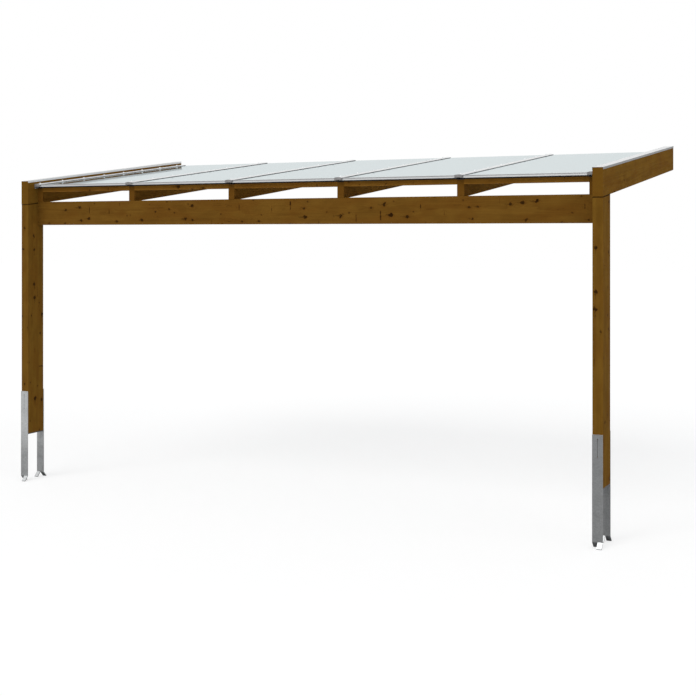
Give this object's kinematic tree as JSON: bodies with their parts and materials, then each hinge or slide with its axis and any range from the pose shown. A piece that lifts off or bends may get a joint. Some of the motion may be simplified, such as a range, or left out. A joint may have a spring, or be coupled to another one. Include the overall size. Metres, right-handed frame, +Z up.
{
  "type": "lean-to carport",
  "caption": "Lean-to carport with stained timber posts, beam and rafters, a twin-wall sheet roof in aluminium bars, and split steel post anchors.",
  "frame": {"origin": "middle of the wall board's back face, which lies on the house wall", "axes": "+X along the wall, to the right seen from the front; +Y into the wall; +Z up"},
  "size_m": [5.573, 2.6352, 3.1605],
  "materials": {
    "post_wood": "brown stained, planed",
    "beam_wood": "brown stained, planed",
    "rafter_wood": "brown stained, planed",
    "end_board_wood": "brown stained, planed",
    "front_board_wood": "brown stained, planed",
    "wall_board_wood": "brown stained, planed",
    "roof_sheet": "translucent twin-wall sheet",
    "edge_aluminium": "mill finish",
    "bar_aluminium": "mill finish",
    "end_cap_plastic": "grey, matt",
    "capping_aluminium": "mill finish",
    "seal_rubber": "matt",
    "anchor_steel": "hot-dip galvanized",
    "hanger_steel": "galvanized sheet"
  },
  "bodies": {
    "root": {"post_left": "post_wood", "post_right": "post_wood", "front_beam": "beam_wood", "rafter_1": "rafter_wood", "rafter_2": "rafter_wood", "rafter_3": "rafter_wood", "rafter_4": "rafter_wood", "rafter_5": "rafter_wood", "rafter_6": "rafter_wood", "end_board_left": "end_board_wood", "end_board_right": "end_board_wood", "capping_left": "capping_aluminium", "capping_right": "capping_aluminium", "front_board_1": "front_board_wood", "front_board_2": "front_board_wood", "front_board_3": "front_board_wood", "front_board_4": "front_board_wood", "front_board_5": "front_board_wood", "wall_board": "wall_board_wood", "rafter_hangers": "hanger_steel", "roof_sheet_1": "roof_sheet", "roof_sheet_2": "roof_sheet", "roof_sheet_3": "roof_sheet", "roof_sheet_4": "roof_sheet", "roof_sheet_5": "roof_sheet", "sheet_edge_1": "edge_aluminium", "sheet_edge_2": "edge_aluminium", "sheet_edge_3": "edge_aluminium", "sheet_edge_4": "edge_aluminium", "sheet_edge_5": "edge_aluminium", "glazing_bar_1": "bar_aluminium", "glazing_bar_2": "bar_aluminium", "glazing_bar_3": "bar_aluminium", "glazing_bar_4": "bar_aluminium", "glazing_bar_5": "bar_aluminium", "glazing_bar_6": "bar_aluminium", "bar_end_caps": "end_cap_plastic", "roof_seals": "seal_rubber", "anchor_strap_front_left": "anchor_steel", "anchor_strap_back_left": "anchor_steel", "anchor_seat_left": "anchor_steel", "anchor_strap_front_right": "anchor_steel", "anchor_strap_back_right": "anchor_steel", "anchor_seat_right": "anchor_steel"}
  },
  "joints": []
}
